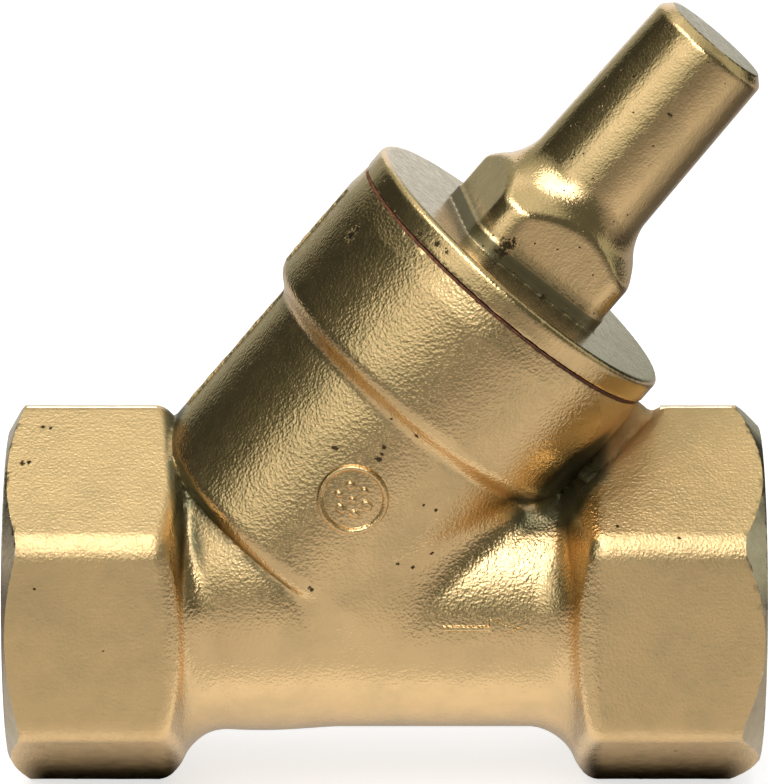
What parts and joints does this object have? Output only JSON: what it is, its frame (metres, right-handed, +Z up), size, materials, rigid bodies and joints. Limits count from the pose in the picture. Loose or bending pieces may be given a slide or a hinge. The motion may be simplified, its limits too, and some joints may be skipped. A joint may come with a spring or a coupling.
{
  "type": "angle seat non-return valve",
  "caption": "Spring-loaded angle seat non-return valve in forged brass, with hexagon threaded ports in line, an inclined neck and a screwed bonnet with a closed tubular boss.",
  "frame": {"origin": "centre of the inlet port's face, on the run axis", "axes": "+X along the run from inlet to outlet, +Z up on the side the neck leans from, neck axis in the XZ plane at 50 degrees above +X"},
  "size_m": [0.09, 0.0432, 0.0956],
  "materials": {
    "forged_brass": "shot-blasted satin, light tarnish",
    "turned_brass": "turned and left bare",
    "gasket_fibre": "compressed fibre, dull red-brown",
    "bush_plastic": "white low-friction plastic",
    "stainless_steel": "ground or drawn stainless steel",
    "seal_rubber": "moulded black rubber"
  },
  "bodies": {
    "valve": {"valve_body": "forged_brass", "bonnet": "turned_brass", "bonnet_gasket": "gasket_fibre", "guide_bush": "bush_plastic", "spring_washer": "stainless_steel"},
    "spring": {"closing_spring": "stainless_steel"},
    "disc_assembly": {"stem": "stainless_steel", "disc_carrier": "turned_brass", "disc_seal": "seal_rubber", "seal_retainer": "stainless_steel", "lock_washer": "stainless_steel", "retaining_nut": "turned_brass"}
  },
  "joints": [
    {"name": "disc_lift", "type": "slide", "parent": "valve", "child": "spring", "axis": [0.6428, 0, 0.766], "range_m": [0, 0.01], "stiffness_N_per_m": 320, "springref_m": -0.006, "deforming": ["closing_spring"]},
    {"name": "disc_spin", "type": "hinge", "parent": "spring", "child": "disc_assembly", "pos_m": [0.027, 0, 0], "axis": [0.6428, 0, 0.766], "continuous": true}
  ]
}
